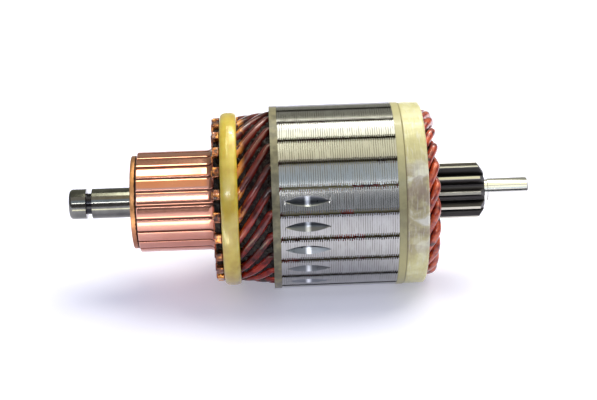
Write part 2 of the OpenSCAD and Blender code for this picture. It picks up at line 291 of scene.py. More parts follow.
def gear_steel():
    """Black oxide in the tooth gaps; pale tips that are partly wear and partly a painted highlight."""
    f = Finish("gear_steel")
    # Pale tips: partly wear, partly a painted highlight along each tip.
    worn = f.radius.above(9.98, 0.14)
    spots = f.cloud(1.1, 4)
    colour = f.mix(worn, (0.07, 0.065, 0.065), (0.60, 0.58, 0.50))
    return f.surface(
        Base_Color=colour,
        Metallic=1.0,
        Roughness=0.30 + 0.18 * spots - 0.06 * worn,
        Normal=f.bump(f.cloud(3.0, 3, f.round_shaft(1.0, 0.1)), 0.01),
    )


def pilot_steel():
    """The pilot's bright polish."""
    f = Finish("pilot_steel")
    lines = f.cloud(3.0, 3, f.round_shaft(0.03, 1))
    return f.surface(
        Base_Color=(0.86, 0.85, 0.80),
        Metallic=1.0,
        Roughness=0.07 + 0.10 * lines,
        Normal=f.bump(lines, 0.008),
    )


def core_steel():
    """Edges of the stacked sheets, turned to size."""
    f = Finish("core_steel")
    wave = f.x.math("SINE", f.x * (2 * math.pi / LINE_PERIOD)) * 0.5 + 0.5
    strength = f.cloud(0.55, 3, f.round_shaft(0.35, 1.0))
    dark_line = wave.above(0.72, 0.5) * strength.above(0.44, 0.3)
    stain = f.cloud(0.09, 4)
    colour = f.mix(dark_line * 0.75, (0.45, 0.45, 0.45), (0.17, 0.17, 0.15))
    colour = f.mix(0.3 * stain, colour, (0.34, 0.31, 0.25))
    return f.surface(
        Base_Color=colour,
        Metallic=1.0,
        Roughness=0.12 + 0.10 * strength,
        Normal=f.bump(dark_line, -0.006),
    )


def cut_steel():
    """Milled steel in the balance cuts, with a painted highlight across their middle."""
    f = Finish("cut_steel")
    lines = f.cloud(0.5, 2, f.round_shaft(0.4, 1.0))
    colour = f.mix(lines, (0.14, 0.15, 0.165), (0.21, 0.22, 0.24))
    # Painted highlight: a pale band across the middle of each cut's length.
    off_centre = f.x.math("ABSOLUTE", f.x - STACK_X0 - CUT_SETBACK)
    colour = f.mix(1 - off_centre.above(0.7, 1.4), colour, (0.88, 0.90, 0.95))
    return f.surface(
        Base_Color=colour,
        Metallic=1.0,
        Roughness=0.24 + 0.10 * lines,
    )


def bar_copper():
    """Turned copper: bright on the brush track, with painted shade darkening it towards the risers."""
    f = Finish("bar_copper")
    turning = f.cloud(4.0, 3, f.round_shaft(0.02, 1))
    stain = f.cloud(0.22, 4, f.vector(f.x * 0.4, f.y, f.z))
    near_riser = f.x.above(RISER_X - 1.5, 5.0)
    colour = f.mix(stain, (0.74, 0.32, 0.21), (0.86, 0.45, 0.36))
    # Painted shade: darker and browner towards the risers.
    colour = f.mix(near_riser * 0.65, colour, (0.34, 0.12, 0.06))
    return f.surface(
        Base_Color=colour,
        Metallic=1.0,
        Roughness=0.10 + 0.10 * turning,
        Normal=f.bump(turning, 0.0015),
    )


def ring_copper():
    """The brown, unpolished ring before the bars."""
    f = Finish("ring_copper")
    stain = f.cloud(0.5, 4)
    specks = f.cloud(1.1, 3)
    colour = f.mix(stain, (0.46, 0.19, 0.07), (0.72, 0.38, 0.18))
    # Painted shade: darker and pinker towards the bottom.
    colour = f.mix((1 - f.z.above(-2, 16)) * 0.6, colour, (0.42, 0.17, 0.12))
    burnt = (f.x + 0.9 * specks).above(RING_X1 + 0.1, 0.35)
    colour = f.mix(burnt, colour, (0.08, 0.03, 0.015))
    return f.surface(
        Base_Color=colour,
        Metallic=1.0,
        Roughness=0.28 + 0.2 * stain,
        Normal=f.bump(stain * 0.6 + specks * 0.4, 0.08),
    )


def enamel():
    """Red enamel on copper under brown-black varnish, with painted shade darkening the top and painted amber
    glints beside the cord ring.
    """
    f = Finish("enamel")
    pooled = f.cloud(0.16, 3)
    colour = f.ramp(
        pooled,
        (0.30, (0.02, 0.002, 0.002)),
        (0.42, (0.12, 0.006, 0.004)),
        (0.54, (0.36, 0.018, 0.010)),
        (0.70, (0.52, 0.045, 0.015)),
    )
    # Painted shade: darker on the upper side.
    colour = f.mix(f.z.above(8, 30) * 0.72, colour, (0.04, 0.003, 0.002))
    near_riser = f.x.above(BARS_END + 8, 2.5)
    # Painted highlight: amber glints in the upper half beside the cord ring.
    painted_glints = (1 - near_riser) * f.z.above(2, 14) * f.cloud(0.35, 3).above(0.47, 0.12)
    colour = f.mix(painted_glints, colour, (0.75, 0.26, 0.03))
    in_slot = f.x.above(STACK_X0 + 1, 2.0) * f.cloud(0.10, 3).above(0.42, 0.12)
    colour = f.mix(in_slot, colour, (0.24, 0.20, 0.08))
    return f.surface(
        Base_Color=colour,
        Metallic=0.12,
        Roughness=0.22,
        Specular_IOR_Level=0.2,
        # Less coat on the underside: the table's reflection there is damped by height, as painted shade.
        Coat_Weight=0.2 + 0.8 * f.z.above(-4, 16),
        Coat_Roughness=0.03,
        Normal=f.bump(f.cloud(0.5, 2), 0.08),
    )


def head_enamel():
    """The bright orange-red of the coil heads, away from the thickest varnish."""
    f = Finish("head_enamel")
    pooled = f.cloud(0.4, 4)
    colour = f.ramp(
        pooled,
        (0.34, (0.06, 0.006, 0.004)),
        (0.46, (0.36, 0.03, 0.012)),
        (0.62, (0.66, 0.10, 0.022)),
    )
    return f.surface(
        Base_Color=colour,
        Metallic=0.15,
        Roughness=0.28,
        Coat_Weight=1.0,
        Coat_Roughness=0.08,
        Normal=f.bump(f.cloud(0.9, 3), 0.10),
    )


def black_varnish():
    """Baked dipping varnish between the conductors."""
    f = Finish("black_varnish")
    tint = f.cloud(0.4, 3)
    return f.surface(
        Base_Color=f.mix(tint, (0.003, 0.003, 0.003), (0.02, 0.006, 0.004)),
        Roughness=0.06,
        Specular_IOR_Level=0.17,
        Normal=f.bump(f.cloud(1.3, 4), 0.35),
    )


def amber_varnish():
    """Varnish over the soldered copper of the risers."""
    f = Finish("amber_varnish")
    pooled = f.cloud(0.6, 4)
    colour = f.ramp(
        pooled,
        (0.36, (0.04, 0.010, 0.004)),
        (0.52, (0.34, 0.09, 0.02)),
        (0.68, (0.95, 0.42, 0.09)),
    )
    return f.surface(
        Base_Color=colour,
        Metallic=0.8,
        Roughness=0.25,
        Coat_Weight=1.0,
        Coat_Roughness=0.06,
        Normal=f.bump(f.cloud(1.2, 3), 0.2),
    )


def cord_resin():
    """Yellow resin over the wound cord."""
    f = Finish("cord_resin")
    mottle = f.cloud(0.22, 4)
    turns = f.cloud(1.6, 2, f.round_shaft(0.05, 1))
    colour = f.ramp(mottle, (0.34, (0.68, 0.46, 0.02)), (0.52, (0.76, 0.57, 0.04)), (0.68, (0.82, 0.64, 0.07)))
    return f.surface(
        Base_Color=colour,
        Roughness=0.30,
        Specular_IOR_Level=0.8,
        Coat_Weight=1.0,
        Coat_Roughness=0.10,
        Subsurface_Weight=0.15,
        Subsurface_Scale=0.002,
        Normal=f.bump(turns * 0.3 + mottle * 0.7, 0.05),
    )


def glass_resin():
    """Glass tape in pale resin: cloudy, painted yellower above and below as painted light, with whitish fibres
    round the shaft.
    """
    f = Finish("glass_resin")
    cloud = f.cloud(0.13, 4, None, 0.6, 0.6)
    # Painted light: yellower above and below, by height.
    painted_light_by_height = f.z.math("ABSOLUTE", f.z - 6).above(14, 18)
    fibres = f.cloud(1.6, 4, f.round_shaft(0.12, 1.0))
    colour = f.ramp(
        cloud,
        (0.34, (0.34, 0.27, 0.16)),
        (0.50, (0.56, 0.50, 0.26)),
        (0.62, (0.82, 0.80, 0.66)),
    )
    colour = f.mix(painted_light_by_height * 0.75, colour, f.mix(cloud, (0.66, 0.60, 0.20), (0.95, 0.92, 0.44)))
    brown = f.cloud(0.2, 4, f.vector(f.x + 31, f.y, f.z)).above(0.50, 0.12) * (1 - painted_light_by_height)
    colour = f.mix(brown * 0.65, colour, (0.32, 0.22, 0.16))
    colour = f.mix(fibres.above(0.62, 0.2) * 0.4, colour, (0.85, 0.84, 0.72))
    seam = (1 - f.x.above(GLASS_X0 + 0.45, 0.7)) * (0.45 + 0.55 * cloud)
    colour = f.mix(seam, colour, (0.20, 0.15, 0.07))
    return f.surface(
        Base_Color=colour,
        Roughness=0.34,
        Coat_Weight=0.35,
        Coat_Roughness=0.15,
        Normal=f.bump(fibres * 0.5 + cloud * 0.5, 0.25),
    )


def plate_olive():
    """Olive insulating board, smeared with the glass band's resin on the drive side, the smear painted stronger
    above and below as painted light.
    """
    f = Finish("plate_olive")
    mottle = f.cloud(0.3, 4)
    colour = f.mix(mottle.above(0.5, 0.3), (0.13, 0.115, 0.055), (0.27, 0.24, 0.115))
    # Painted light: the drive-side smear is stronger above and below, by height.
    painted_light_by_height = f.z.math("ABSOLUTE", f.z - 6).above(12, 20)
    resin_smear_and_painted_light = f.x.above(STACK_X1, 1.0) * (0.35 + 0.45 * painted_light_by_height)
    colour = f.mix(resin_smear_and_painted_light, colour, (0.62, 0.57, 0.25))
    return f.surface(
        Base_Color=colour,
        Roughness=0.30 + 0.25 * mottle,
        Coat_Weight=0.4,
        Coat_Roughness=0.15,
        Normal=f.bump(mottle, 0.12),
    )


def paper():
    """Slot paper browned by varnish."""
    f = Finish("paper")
    return f.surface(
        Base_Color=f.mix(f.cloud(0.6, 3), (0.09, 0.045, 0.02), (0.22, 0.13, 0.06)), Roughness=0.6
    )


def mica():
    """Dark strips between the bars, with copper dust."""
    f = Finish("mica")
    return f.surface(
        Base_Color=f.mix(f.cloud(1.2, 3), (0.12, 0.035, 0.02), (0.32, 0.12, 0.07)), Roughness=0.6
    )


def hub_moulding():
    """Brown-black moulding resin of the commutator."""
    f = Finish("hub_moulding")
    grain = f.cloud(0.9, 4)
    return f.surface(
        Base_Color=f.mix(grain, (0.035, 0.018, 0.012), (0.11, 0.06, 0.035)),
        Roughness=0.42,
        Normal=f.bump(grain, 0.06),
    )


# ---- Shapes ----


def face_outwards(mesh):
    """Turns every face of a closed mesh to look out."""
    work = bmesh.new()
    work.from_mesh(mesh)
    bmesh.ops.recalc_face_normals(work, faces=work.faces)
    work.to_mesh(mesh)
    work.free()


def piece(name, points, faces, finish, stands_for=(), crease=35):
    """A mesh from points in millimetres, riding on the armature."""
    mesh = bpy.data.meshes.new(name)
    mesh.from_pydata([Vector(p) * MM for p in points], [], faces)
    face_outwards(mesh)
    mesh.polygons.foreach_set("use_smooth", [True] * len(mesh.polygons))
    mesh.set_sharp_from_angle(angle=math.radians(crease))
    made = bpy.data.objects.new(name, mesh)
    bpy.context.scene.collection.objects.link(made)
    made.data.materials.append(finish)
    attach(made, "root")
    if stands_for:
        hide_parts(*stands_for)
    return made


def at_angle(x, r, angle):
    """The point at x, at radius r and an angle in degrees round the shaft."""
    a = math.radians(angle)
    return Vector((x, r * math.cos(a), r * math.sin(a)))


def loops_joined(rings, closed):
    """Faces between rings of equally many points; closed joins the last ring to the first."""
    count = len(rings[0])
    faces = []
    for i in range(len(rings) if closed else len(rings) - 1):
        for j in range(count):
            k = (j + 1) % count
            after = (i + 1) % len(rings)
            faces.append((i * count + j, i * count + k, after * count + k, after * count + j))
    points = [p for ring in rings for p in ring]
    return points, faces


def turned(name, profile, finish, stands_for=(), steps=192, lumps=None, crease=35):
    """A closed profile of (x, radius) turned round the shaft; lumps(x, radius, angle) moves its radius."""
    rings = []
    for i in range(steps):
        angle = 360 * i / steps
        ring = []
        for x, r in profile:
            ring.append(at_angle(x, r + (lumps(x, r, angle) if lumps else 0), angle))
        rings.append(ring)
    points, faces = loops_joined(rings, True)
    return piece(name, points, faces, finish, stands_for, crease)


def arc(x, r, size, start, stop, steps=8):
    """Points of an arc in the (x, radius) plane; 0 degrees points along +X and 90 outwards."""
    found = []
    for i in range(steps + 1):
        a = math.radians(start + (stop - start) * i / steps)
        found.append((x + size * math.cos(a), r + size * math.sin(a)))
    return found


def fine(profile, step):
    """The profile with its long runs divided."""
    found = []
    for (x0, r0), (x1, r1) in zip(profile, profile[1:] + profile[:1]):
        parts = max(1, round(math.hypot(x1 - x0, r1 - r0) / step))
        found += [(x0 + (x1 - x0) * i / parts, r0 + (r1 - r0) * i / parts) for i in range(parts)]
    return found


def waves(point, size, seed):
    """Smooth noise from -1 to 1 at a point, with features of a size in millimetres."""
    return noise.noise(Vector(point) / size + Vector((seed * 7.3, seed * 3.1, seed)))


# ---- Shaft ----


def build_shaft():
    journal_r = 5.45
    seat_r = 7.0
    groove_x0, groove_x1, groove_r = -9.4, -7.4, 3.8
    steel = ground_steel()
    profile = (
        [(SHAFT_X0, 1.2)]
        + arc(SHAFT_X0 + 1.4, journal_r - 1.4, 1.4, 180, 90)
        + [(groove_x0 - 0.1, journal_r), (groove_x0, journal_r - 0.1), (groove_x0, groove_r)]
        + [(groove_x1, groove_r), (groove_x1, journal_r - 0.1), (groove_x1 + 0.1, journal_r)]
        + [(FRONT_X, journal_r)]
        + [(FRONT_X, seat_r - 0.2), (FRONT_X + 0.2, seat_r), (BARS_END, seat_r)]
        + [(BARS_END, 8.5), (GEAR_X0, 8.5), (GEAR_X0, 1.2), (SHAFT_X0 + 2.4, 0.05)]
    )
    turned("shaft_ground", profile, steel, ["shaft"])
    neck_r = 3.8
    pilot_r = 4.1
    profile = (
        [(GEAR_X1 - 0.5, 0.5), (GEAR_X1 - 0.5, neck_r), (PILOT_X0, neck_r)]
        + [(PILOT_X0 + 0.1, pilot_r), (SHAFT_X1 - 0.5, pilot_r)]
        + arc(SHAFT_X1 - 0.5, pilot_r - 0.5, 0.5, 90, 0, 4)
        + [(SHAFT_X1, 1.2), (SHAFT_X1 - 2.4, 0.05)]
    )
    turned("shaft_pilot", profile, pilot_steel())
    build_gear()


def involute(a):
    return math.tan(a) - a


def tooth_half(r, base_r):
    """Half the angle that a tooth fills at radius r, in radians."""
    return (
        math.pi / 2 / GEAR_TEETH
        + involute(math.radians(20))
        - involute(math.acos(min(1, base_r / max(r, base_r))))
    )


def build_gear():
    pitch_r = GEAR_MODULE * GEAR_TEETH / 2
    base_r = pitch_r * math.cos(math.radians(20))
    root_r = pitch_r - 1.25 * GEAR_MODULE
    tip_r = pitch_r + GEAR_MODULE
    radii = [root_r, root_r + 0.25] + [base_r + (tip_r - base_r) * i / 8 for i in range(9)]
    flank = [(r, tooth_half(r, base_r)) for r in radii]
    flank[0] = (root_r, flank[0][1] + 0.05)
    tooth = [(r, -a) for r, a in flank]
    tooth += [(tip_r + 0.01, 0)]
    tooth += [(r, a) for r, a in reversed(flank)]
    outline = []
    for k in range(GEAR_TEETH):
        middle = 2 * math.pi * k / GEAR_TEETH
        outline += [(r, a + middle) for r, a in tooth]
        outline.append((root_r - 0.05, middle + math.pi / GEAR_TEETH))
    chamfer_len, chamfer_h = 1.8, 2.6
    untrimmed = tip_r + 1
    stations = [(x, untrimmed) for x in (GEAR_X0, GEAR_X0 + 0.01, GEAR_X1 - chamfer_len - 0.3)]
    for i in range(9):
        along = chamfer_len * i / 8
        stations.append((GEAR_X1 - chamfer_len + along, tip_r - chamfer_h * along / chamfer_len))
    rings = [
        [at_angle(x, min(r, most), math.degrees(a)) for r, a in outline] for x, most in stations
    ]
    points, faces = loops_joined(rings, False)
    count = len(outline)
    for ring, x in ((0, GEAR_X0), (len(rings) - 1, GEAR_X1)):
        points.append(Vector((x, 0, 0)))
        hub = len(points) - 1
        for j in range(count):
            pair = (ring * count + j, ring * count + (j + 1) % count)
            faces.append((*pair, hub) if ring else (*reversed(pair), hub))
    piece("sun_gear", points, faces, gear_steel(), crease=28)


# ---- Commutator ----


def bar_profile():
    """The bar's outer side from its front end to the riser's back, then its foot, as (x, radius)."""
    top = [(BARS_X, TRACK_R - 0.25), (BARS_X + 0.25, TRACK_R)]
    top += [(BARS_X + 0.25 + (RISER_X - RISER_FILLET - BARS_X - 0.25) * i / 12, TRACK_R) for i in range(1, 12)]
    top += arc(RISER_X - RISER_FILLET, TRACK_R + RISER_FILLET, RISER_FILLET, -90, 0, 10)
    return top


def bar_half(r):
    """Half the bar's width at radius r."""
    wedge = r * math.tan(math.radians(PITCH / 2)) - STRIP_T / 2
    return min(wedge, RISER_T / 2) if r > TRACK_R + 1.2 else wedge


def build_bars():
    rand = random.Random(11)
    copper = bar_copper()
    varnished = amber_varnish()
    across = [-1, -0.96, -0.85, -0.45, 0, 0.45, 0.85, 0.96, 1]
    for i in range(1, SLOTS + 1):
        angle = 90 + (i - 1) * PITCH + BAR_LEAD
        turn = Matrix.Rotation(math.radians(angle), 4, "X")
        tilt = rand.uniform(-0.02, 0.02)
        rings = []
        for x, r in bar_profile():
            half = bar_half(r)
            ring = []
            for t in across:
                edge = max(0, abs(t) - 0.85) / 0.15
                drop = 0.12 * edge**2 + 0.10 * t * t - tilt * t
                ring.append(turn @ Vector((x, r - drop, t * half)))
            ring.append(turn @ Vector((x, BAR_FOOT_R, bar_half(BAR_FOOT_R))))
            ring.append(turn @ Vector((x, BAR_FOOT_R, -bar_half(BAR_FOOT_R))))
            rings.append(ring)
        points, faces = loops_joined(rings, False)
        count = len(rings[0])
        faces.append(tuple(range(count)))
        faces.append(tuple(reversed(range(len(points) - count, len(points)))))
        name = f"commutator_bar_{i:02d}"
        piece(f"bar_{i:02d}", points, faces, copper, [name], 40)
        build_riser(i, turn, varnished, rand)


def build_riser(i, turn, finish, rand):
    """The slotted end of a bar, with its solder and varnish."""
    half = RISER_T / 2
    x0, x1 = RISER_X + 0.02, BARS_END
    xs = [x0, x0 + 0.3, (x0 + x1) / 2, x1 - 0.3, x1]
    ts = [-1, -0.8, -0.4, 0, 0.4, 0.8, 1]
    rs = [TRACK_R - 2, TRACK_R + 2.3, 22, 24, 26, 28, RISER_TOP - 0.3]
    points = []
    seed = rand.uniform(0, 50)
    for r in rs:
        for x in xs:
            for t in ts:
                bulge = 0.12 * waves((x, t * 3, r), 1.1, seed)
                points.append((x + bulge * 0.6, r, t * half + bulge))
    rows = len(xs) * len(ts)
    faces = []
    width = len(ts)

    def at(level, a, b):
        return level * rows + a * width + b

    for level in range(len(rs) - 1):
        for b in range(width - 1):
            faces.append((at(level, 0, b + 1), at(level, 0, b), at(level + 1, 0, b), at(level + 1, 0, b + 1)))
            last = len(xs) - 1
            faces.append(
                (at(level, last, b), at(level, last, b + 1), at(level + 1, last, b + 1), at(level + 1, last, b))
            )
        for a in range(len(xs) - 1):
            faces.append((at(level, a, 0), at(level, a + 1, 0), at(level + 1, a + 1, 0), at(level + 1, a, 0)))
            side = width - 1
            faces.append(
                (at(level, a + 1, side), at(level, a, side), at(level + 1, a, side), at(level + 1, a + 1, side))
            )
    for a in range(len(xs) - 1):
        for b in range(width - 1):
            top = len(rs) - 1
            faces.append((at(top, a, b), at(top, a + 1, b), at(top, a + 1, b + 1), at(top, a, b + 1)))
            faces.append((at(0, a, b + 1), at(0, a + 1, b + 1), at(0, a + 1, b), at(0, a, b)))
    lumpy = []
    for k, (x, r, t) in enumerate(points):
        level = k // rows
        if level == len(rs) - 1:
            edge = max(0, abs(t) / half - 0.6)
            r += 0.25 * waves((x, t, seed), 1.0, 3) + 0.28 - 0.9 * edge * edge
        lumpy.append(turn @ Vector((x, r, t)))
    made = piece(f"riser_{i:02d}", lumpy, faces, finish, crease=180)
    smooth = made.modifiers.new("rounding", "SUBSURF")
    smooth.levels = smooth.render_levels = 2


def build_front_ring():
    edge = 0.35
    profile = (
        [(FRONT_X, RING_R - 3.2), (FRONT_X, RING_R - edge)]
        + arc(FRONT_X + edge, RING_R - edge, edge, 180, 90, 4)
        + arc(RING_X1 - edge, RING_R - edge, edge, 90, 0, 4)
        + [(RING_X1, RING_R - 3.2)]
    )

    def worn(x, r, angle):
        return 0.05 * waves(at_angle(x, r, angle), 1.6, 2) if r > RING_R - 1 else 0

    turned("front_ring_copper", profile, ring_copper(), ["front_ring"], 240, worn)


# ---- Winding ----


def unit(v):
    return v / v.length


def rounded_corner(a, c, b, cut, steps):
    p = c + cut * unit(a - c)
    q = c + cut * unit(b - c)
    return [
        (1 - t) ** 2 * p + 2 * t * (1 - t) * c + t * t * q for t in (i / steps for i in range(steps + 1))
    ]


def coil_route():
    """One coil from bar to bar, as points on the unrolled cylinder: x, distance round, radius."""
    scale = (UPPER_R + LOWER_R) / 2 * math.pi / 180
    rise = SLOT_SPAN / 2 * PITCH
    span = SLOT_SPAN * PITCH
    start = RISER_X - 0.3
    corners = [
        (start, rise + BAR_LEAD, UPPER_END_R),
        (RISER_BEND_X, rise + BAR_LEAD, UPPER_END_R),
        (TURN_X0, 0, UPPER_R),
        (TURN_X1, 0, UPPER_R),
        (HEAD_X, -HEAD_ANGLE, HEAD_R0),
        (HEAD_X, -HEAD_ANGLE - HEAD_STEP, HEAD_R1),
        (TURN_X1, -span, LOWER_R),
        (TURN_X0, -span, LOWER_R),
        (RISER_BEND_X, -span - rise + BAR_LEAD, LOWER_END_R),
        (start, -span - rise + BAR_LEAD, LOWER_END_R),
    ]
    corners = [Vector((x, angle * scale, r)) for x, angle, r in corners]
    bend, head = 1.2, 2.2
    cuts = [0, bend, bend, bend, head, head, bend, bend, bend, 0]
    route = [corners[0]]
    for i in range(1, 9):
        found = rounded_corner(corners[i - 1], corners[i], corners[i + 1], cuts[i], 5)
        gap = (found[0] - route[-1]).length
        parts = max(1, round(gap / 1.3))
        route += [route[-1].lerp(found[0], k / parts) for k in range(1, parts)]
        route += found
    route.append(corners[9])
    return [at_angle(p.x, p.z, p.y / scale) for p in route]


def build_coils():
    enamelled = enamel()
    heads = head_enamel()
    route = coil_route()
    sides = 14
    for i in range(1, SLOTS + 1):
        turn = Matrix.Rotation(math.radians(90 + (i - 1) * PITCH), 4, "X")
        rings = []
        for k, p in enumerate(route):
            along = unit(route[min(k + 1, len(route) - 1)] - route[max(k - 1, 0)])
            side = unit(along.cross(Vector((0, p.y, p.z))))
            up = side.cross(along)
            share = max(0, min(1, (p.x - RISER_BEND_X) / 4))
            width = FLAT_W + (WIRE_D - FLAT_W) * share
            height = FLAT_H + (WIRE_D - FLAT_H) * share
            swell = 1.0 + 0.03 * waves((p.x, p.y + 9 * i, p.z), 2.2, 5)
            ring = []
            for j in range(sides):
                a = 2 * math.pi * (j + 0.5) / sides
                ring.append(turn @ (p + (side * width * math.cos(a) + up * height * math.sin(a)) * (swell / 2)))
            rings.append(ring)
        points, faces = loops_joined(rings, False)
        faces.append(tuple(range(sides)))
        faces.append(tuple(reversed(range(len(points) - sides, len(points)))))
        made = piece(f"conductor_{i:02d}", points, faces, enamelled, [f"coil_{i:02d}"], 60)
        made.data.materials.append(heads)
        for face in made.data.polygons:
            face.material_index = int(face.center.x / MM > PLATE_X1)


def varnish_shell(name, stations, lumpiness, size, seed, finish, steps=420):
    """A lumpy skin of varnish through stations of (x, radius), closed on its inside."""
    outer = fine(stations, 0.35)[: -round(abs(stations[-1][0] - stations[0][0]) / 0.35)]
    inside = stations[0][1] - 4
    profile = outer + [(stations[-1][0], inside), (stations[0][0], inside)]

    def lumps(x, r, angle):
        if r <= inside + 0.01:
            return 0
        p = at_angle(x, r, angle)
        return lumpiness * (waves(p, size, seed) + 0.5 * waves(p, size / 2.2, seed + 1))

    return turned(name, profile, finish, (), steps, lumps, 180)


def build_varnish():
    black = black_varnish()
    stations = [(BARS_END + 0.1, 26.8), (CORD_X1, 28.3), (TURN_X0 - 3, UPPER_R), (PLATE_X0 - 0.05, UPPER_R + 0.4)]
    varnish_shell("turn_varnish", stations, 0.65, 1.9, 4, black)
    stations = [(RISER_X + 0.5, 27.9), (BARS_END + 0.2, 27.9)]
    varnish_shell("riser_varnish", stations, 0.6, 1.3, 8, black)
    stations = [(PLATE_X1 + 0.05, 29.3), (GLASS_X1 - 0.3, 29.0), (HEAD_X - 0.6, 27.2)]
    varnish_shell("head_varnish", stations, 0.3, 1.6, 6, black)


# ---- Bands ----


def build_cord_band():
    low = CORD_R - 1.65
    width = CORD_X1 - CORD_X0
    profile = [(CORD_X0, low)]
    steps = 28
    for i in range(steps + 1):
        a = math.pi * i / steps
        bulge = math.sin(a) ** 0.62
        profile.append((CORD_X0 + width / 2 - width / 2 * math.cos(a), low + (CORD_R - low) * bulge))
    profile.append((CORD_X1, low))
    profile.append((CORD_X1 - 0.5, low - 1.5))
    profile.append((CORD_X0 + 0.5, low - 1.5))

    def lumps(x, r, angle):
        p = at_angle(x, r, angle)
        cords = 0.015 * math.cos(2 * math.pi * (x - CORD_X0) / 1.2) if r > low + 0.9 else 0
        return 0.09 * waves(p, 6.0, 1) + 0.02 * waves(p, 1.6, 2) + cords - 0.05

    turned("cord_ring", profile, cord_resin(), ["cord_band"], 360, lumps, 60)


def build_glass_band():
    low = GLASS_R - 1.65
    x0, x1 = GLASS_X0 + 0.02, GLASS_X1
    corner = 1.1
    profile = [(x0, low), (x0, GLASS_R - 0.15), (x0 + 0.15, GLASS_R)]
    profile += [(x0 + 0.15 + (x1 - corner - x0 - 0.15) * i / 14, GLASS_R) for i in range(1, 14)]
    profile += arc(x1 - corner, GLASS_R - corner, corner, 90, 0, 8)
    profile += [(x1, low), (x1 - 0.6, low - 0.8), (x0 + 0.5, low - 0.8)]

    def lumps(x, r, angle):
        p = at_angle(x, r, angle)
        fibres = 0.05 * waves((p.x * 1.0, p.y * 0.12, p.z * 0.12), 0.9, 9)
        return 0.13 * waves(p, 4.0, 3) + fibres - 0.06

    turned("glass_ring", profile, glass_resin(), ["glass_band"], 360, lumps, 60)


# ---- Core ----


def slot_outline():
    """The slot after a tooth, as (radius, angle in degrees from the tooth's middle)."""
    neck_r = UPPER_R + math.sqrt(SLOT_HALF**2 - (SLOT_OPENING / 2) ** 2)
    run = [(neck_r, SLOT_OPENING / 2), (UPPER_R + 0.9, 1.6), (UPPER_R, SLOT_HALF), (LOWER_R, SLOT_HALF)]
    before = [(r, PITCH / 2 - math.degrees(half / r)) for r, half in run]
    after = [(r, PITCH / 2 + math.degrees(half / r)) for r, half in reversed(run)]
    return before + after


def cut_across(x):
    """The balance cut at x, as (distance from the tooth's middle, height). A disc with a pointed rim makes it."""
    rim_r = CUT_LEN**2 / (8 * CUT_DEPTH) + CUT_DEPTH / 2
    slope = CUT_W / 2 / CUT_DEPTH
    axis_h = CORE_R - CUT_DEPTH + rim_r
    dx = x - STACK_X0 - CUT_SETBACK
    at_top = math.hypot(rim_r - CUT_DEPTH, dx)
    half = (rim_r - at_top) * slope
    least = 0.05
    if half < least:
        return [(least * k, CORE_R) for k in range(-3, 4)]
    found = []
    for k in range(-3, 4):
        t = half * k / 3
        deep = axis_h - math.sqrt((rim_r - abs(t) / slope) ** 2 - dx * dx)
        found.append((t, min(deep, math.sqrt(CORE_R**2 - t * t))))
    return found


def build_core():
    """Thin sheets with five boat-shaped balance cuts.

    The sheets are turned to and fro a little, which makes a fine comb along the slots.
    """
    rand = random.Random(5)
    slot = slot_outline()
    half_tooth = PITCH / 2 - math.degrees(SLOT_OPENING / 2 / CORE_R)
    wide = [k / 4 for k in range(-4, 5)]
    beside = [-1, -0.9, -0.75, -0.6]
    rings = []
    for s in range(SHEETS):
        shift = 0.65 * (-1) ** s + rand.gauss(0, 0.15)
        grow = -abs(rand.gauss(0, 0.02))
        for x in (STACK_X0 + s * SHEET_T, STACK_X0 + (s + 1) * SHEET_T):
            ring = []
            for k in range(SLOTS):
                middle = 90 + (k + 0.5) * PITCH
                sides = [at_angle(x, CORE_R + grow, middle + half_tooth * t + shift) for t in beside]
                if k in CUT_TEETH:
                    ring += sides
                    for t, height in cut_across(x):
                        r = math.hypot(t, height)
                        if r > CORE_R - 0.02:
                            r += grow
                        ring.append(at_angle(x, r, middle + math.degrees(math.atan2(t, height))))
                    ring += [
                        at_angle(x, CORE_R + grow, middle - half_tooth * t + shift) for t in reversed(beside)
                    ]
                else:
                    ring += [at_angle(x, CORE_R + grow, middle + half_tooth * t + shift) for t in wide]
                ring += [at_angle(x, r, middle + a + shift) for r, a in slot]
            rings.append(ring)
    for x in (STACK_X1, STACK_X0):
        rings.append([Vector((x, *(Vector(p.yz).normalized() * CORE_BORE_R))) for p in rings[0]])
    points, faces = loops_joined(rings, True)
    made = piece("lamination_stack", points, faces, core_steel(), ["core_laminations"], 30)
    made.data.materials.append(cut_steel())
    for face in made.data.polygons:
        r = math.hypot(face.center.y, face.center.z) / MM
        along = abs(face.normal.x)
        inside = any(abs(across_tooth(face.center, k)) < CUT_W / 2 for k in CUT_TEETH)
        within = abs(face.center.x / MM - STACK_X0 - CUT_SETBACK) < CUT_LEN / 2 - 0.3
        if inside and within and along < 0.7 and CORE_R - CUT_DEPTH - 0.1 < r < CORE_R - 0.12:
            face.material_index = 1


def across_tooth(point, k):
    """How far a point in metres lies to the side of tooth k's middle, in millimetres."""
    a = math.radians(90 + (k + 0.5) * PITCH)
    return (point.z * math.cos(a) - point.y * math.sin(a)) / MM


# ---- CAD nodes that stay as they are ----


def dress(node, finish):
    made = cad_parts[node]
    made.data.materials.clear()
    made.data.materials.append(finish)


def dress_kept_nodes():
    olive = plate_olive()
    browned = paper()
    dress("end_plate_commutator", olive)
    dress("end_plate_drive", olive)
    dress("slot_liners", browned)
    dress("layer_sleeve_commutator", browned)
    dress("layer_sleeve_drive", browned)
    dress("bar_insulation", mica())
    dress("commutator_hub", hub_moulding())
    dress("commutator_bush", ground_steel())


# ---- Studio ----


